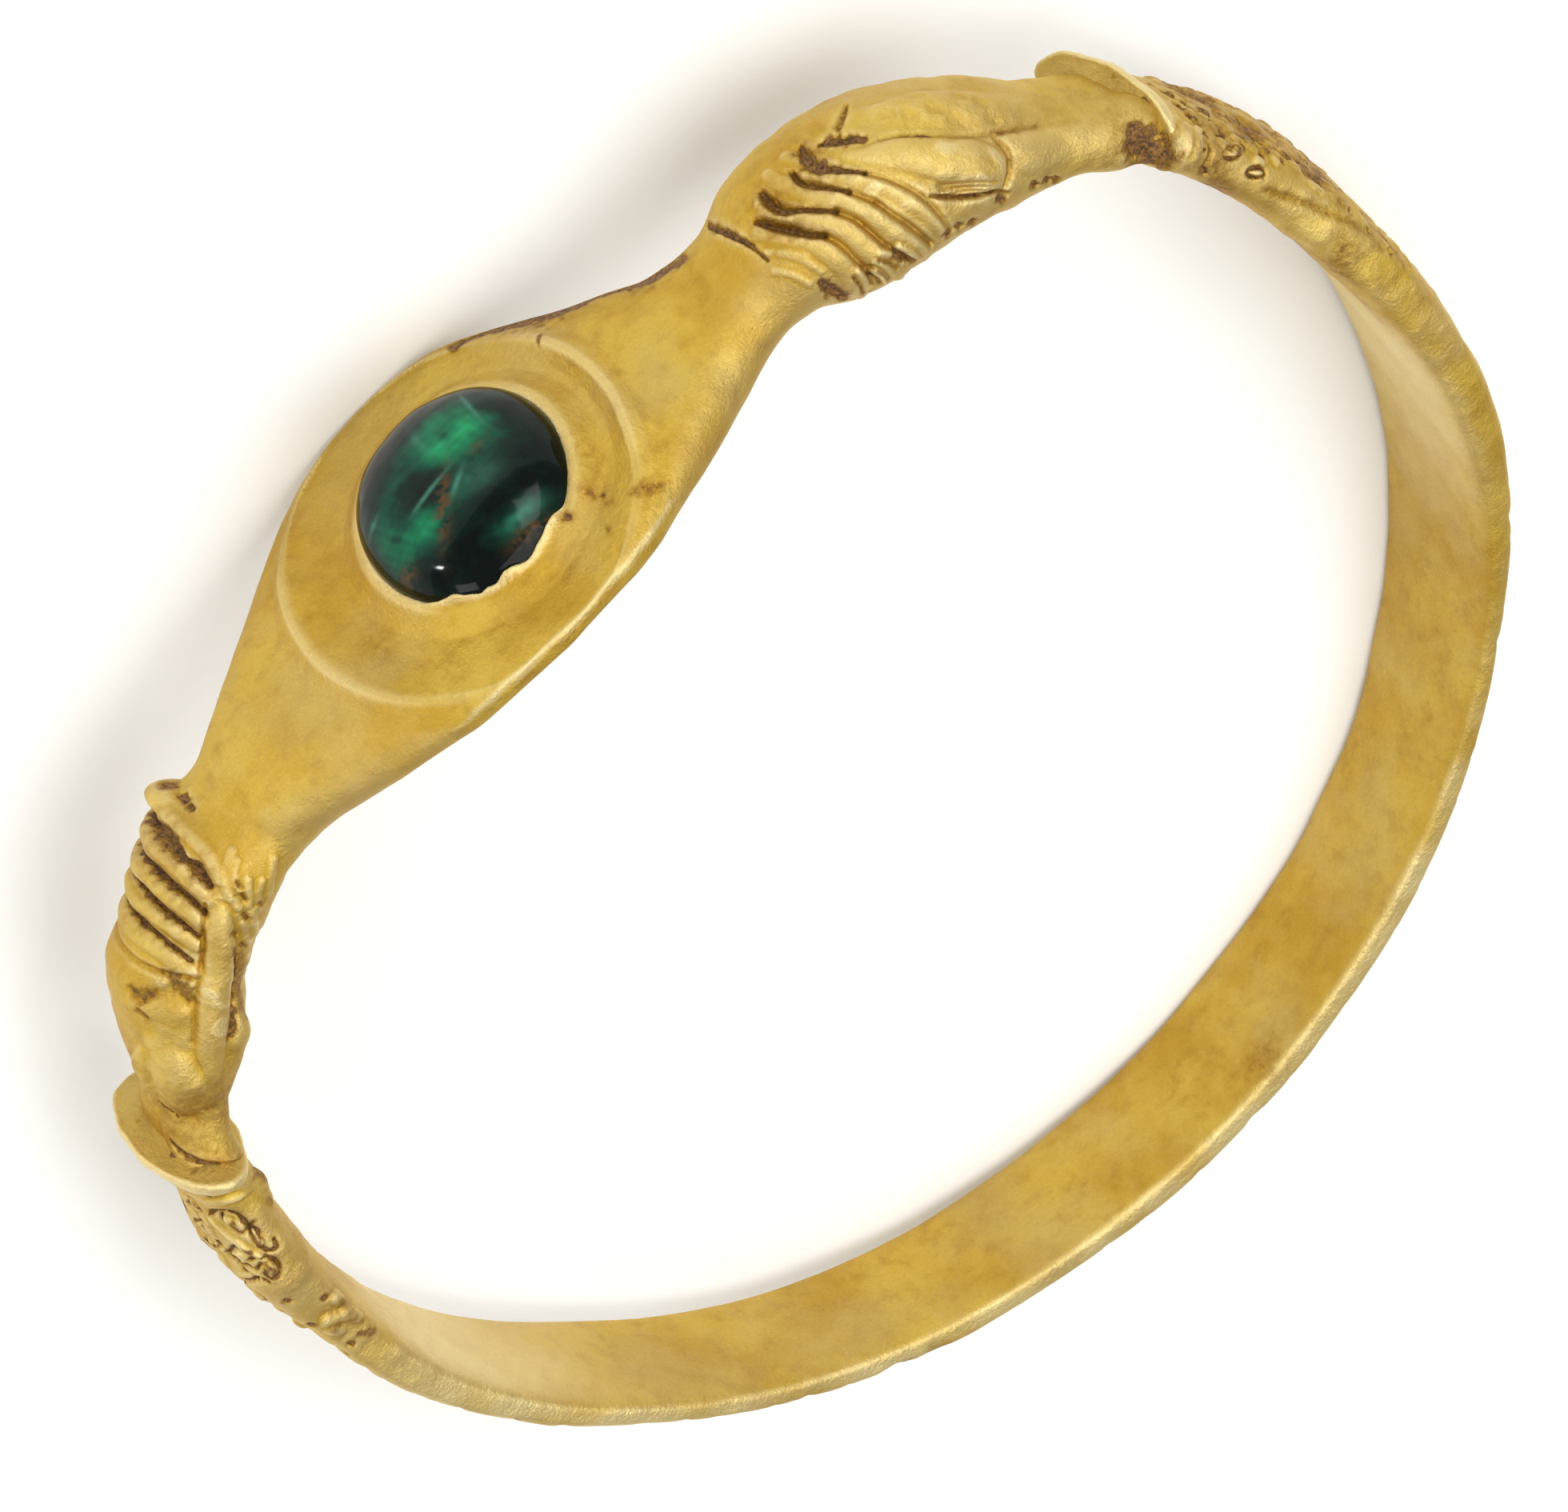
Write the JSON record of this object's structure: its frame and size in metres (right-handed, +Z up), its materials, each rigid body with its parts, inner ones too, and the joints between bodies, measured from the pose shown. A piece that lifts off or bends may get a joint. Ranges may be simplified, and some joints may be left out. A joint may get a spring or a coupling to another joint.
{
  "type": "stirrup ring",
  "caption": "Finger ring of gold: a thin hoop whose shoulders are sleeved arms, with hands that grip a pointed-oval bezel set with an oval green cabochon.",
  "frame": {"origin": "on the floor, under the middle of the ring's bounding box, with the ring lying on its side", "axes": "+Z up, close to the axis of the finger hole; the bezel faces -Y; +X runs along the bezel towards the hand whose thumb lies along its upper side"},
  "size_m": [0.0198, 0.0182, 0.0054],
  "materials": {
    "gold_ring": "worn satin gold",
    "emerald": "polished cabochon"
  },
  "bodies": {
    "root": {"gold_ring": "gold_ring", "emerald": "emerald"}
  },
  "joints": []
}
